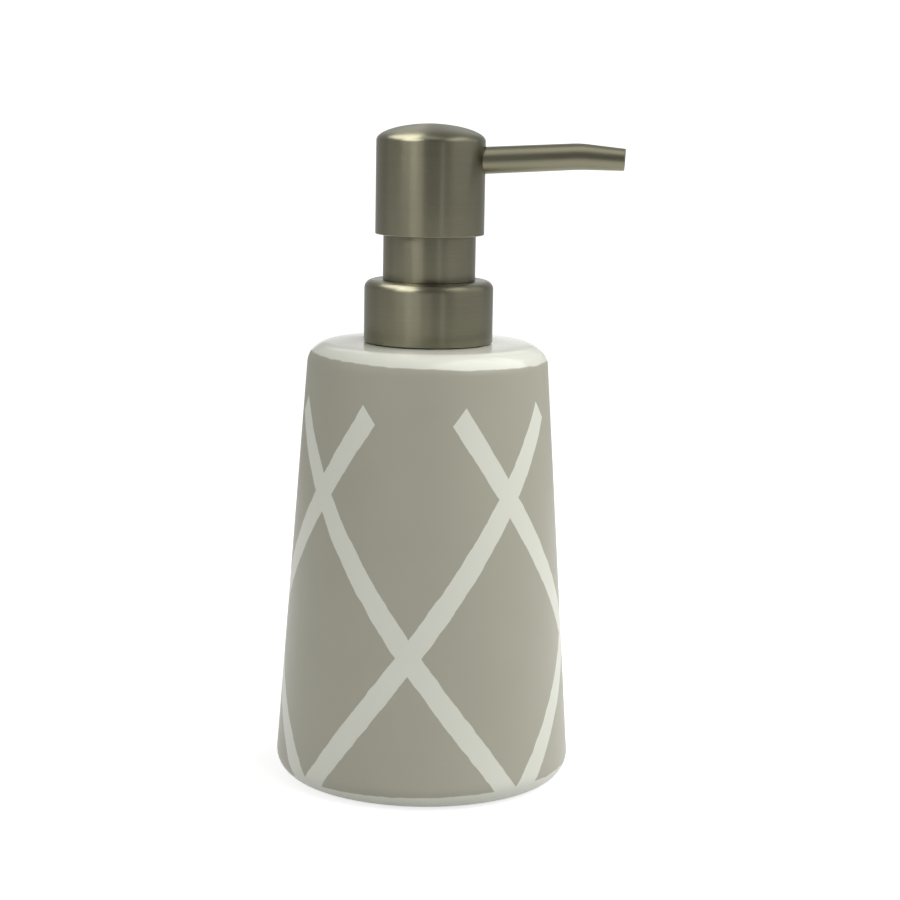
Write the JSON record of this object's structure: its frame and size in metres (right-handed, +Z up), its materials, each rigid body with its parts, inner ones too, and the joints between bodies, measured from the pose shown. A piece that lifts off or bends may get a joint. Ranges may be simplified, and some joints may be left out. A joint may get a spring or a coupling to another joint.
{
  "type": "soap dispenser",
  "caption": "Tapered glazed ceramic bottle with a screw-on steel-clad lotion pump: press the domed head and soap comes out of the bent spout.",
  "frame": {"origin": "centre of the bottle's flat base, on the axis that the bottle and the pump share", "axes": "+Z up along that axis, +X the way the spout points at rest"},
  "size_m": [0.0878, 0.0766, 0.17],
  "materials": {
    "glazed_ceramic": null,
    "brushed_steel": "warm brushed nickel steel, lathe-brushed round the axis",
    "spout_steel": "warm brushed nickel steel, brushed along the tube",
    "bright_steel": "bright stainless wire and ball",
    "white_plastic": "moulded polypropylene, satin",
    "natural_plastic": "natural translucent polyethylene",
    "gasket_rubber": "matt washer"
  },
  "bodies": {
    "bottle_body": {"bottle": "glazed_ceramic", "neck_insert": "white_plastic"},
    "gasket_body": {"gasket": "gasket_rubber"},
    "pump_body": {"pump_housing": "natural_plastic", "dip_tube": "natural_plastic", "ball_cage": "white_plastic", "spring": "bright_steel", "chaplet": "white_plastic", "sleeve": "brushed_steel"},
    "ball_body": {"ball": "bright_steel"},
    "closure_body": {"closure": "white_plastic", "collar_shell": "brushed_steel"},
    "plunger_body": {"piston": "natural_plastic"},
    "head_body": {"stem": "white_plastic", "piston_seat": "white_plastic", "actuator_core": "white_plastic", "head_shell": "brushed_steel", "spout_tube": "spout_steel", "spout_liner": "white_plastic"}
  },
  "joints": [
    {"name": "pump_lift", "type": "slide", "parent": "bottle_body", "child": "gasket_body", "axis": [0, 0, 1], "range_m": [0, 0.13]},
    {"name": "thread_rise", "type": "slide", "parent": "gasket_body", "child": "pump_body", "axis": [0, 0, 1], "range_m": [0, 0.00529]},
    {"name": "collar_turn", "type": "hinge", "parent": "pump_body", "child": "closure_body", "pos_m": [0, 0, 0.1159], "axis": [0, 0, 1], "range_deg": [0, 450]},
    {"name": "head_press", "type": "slide", "parent": "pump_body", "child": "plunger_body", "axis": [0, 0, -1], "range_m": [0, 0.011], "stiffness_N_per_m": 600, "springref_m": -0.012, "deforming": ["spring"]},
    {"name": "head_turn", "type": "hinge", "parent": "plunger_body", "child": "head_body", "pos_m": [0, 0, 0.142], "axis": [0, 0, 1], "continuous": true},
    {"name": "ball_lift", "type": "slide", "parent": "pump_body", "child": "ball_body", "axis": [0, 0, 1], "range_m": [0, 0.0015]}
  ],
  "couplings": [
    {"joint": "collar_turn", "follows": "thread_rise", "rad_per_m": 1484.2}
  ]
}
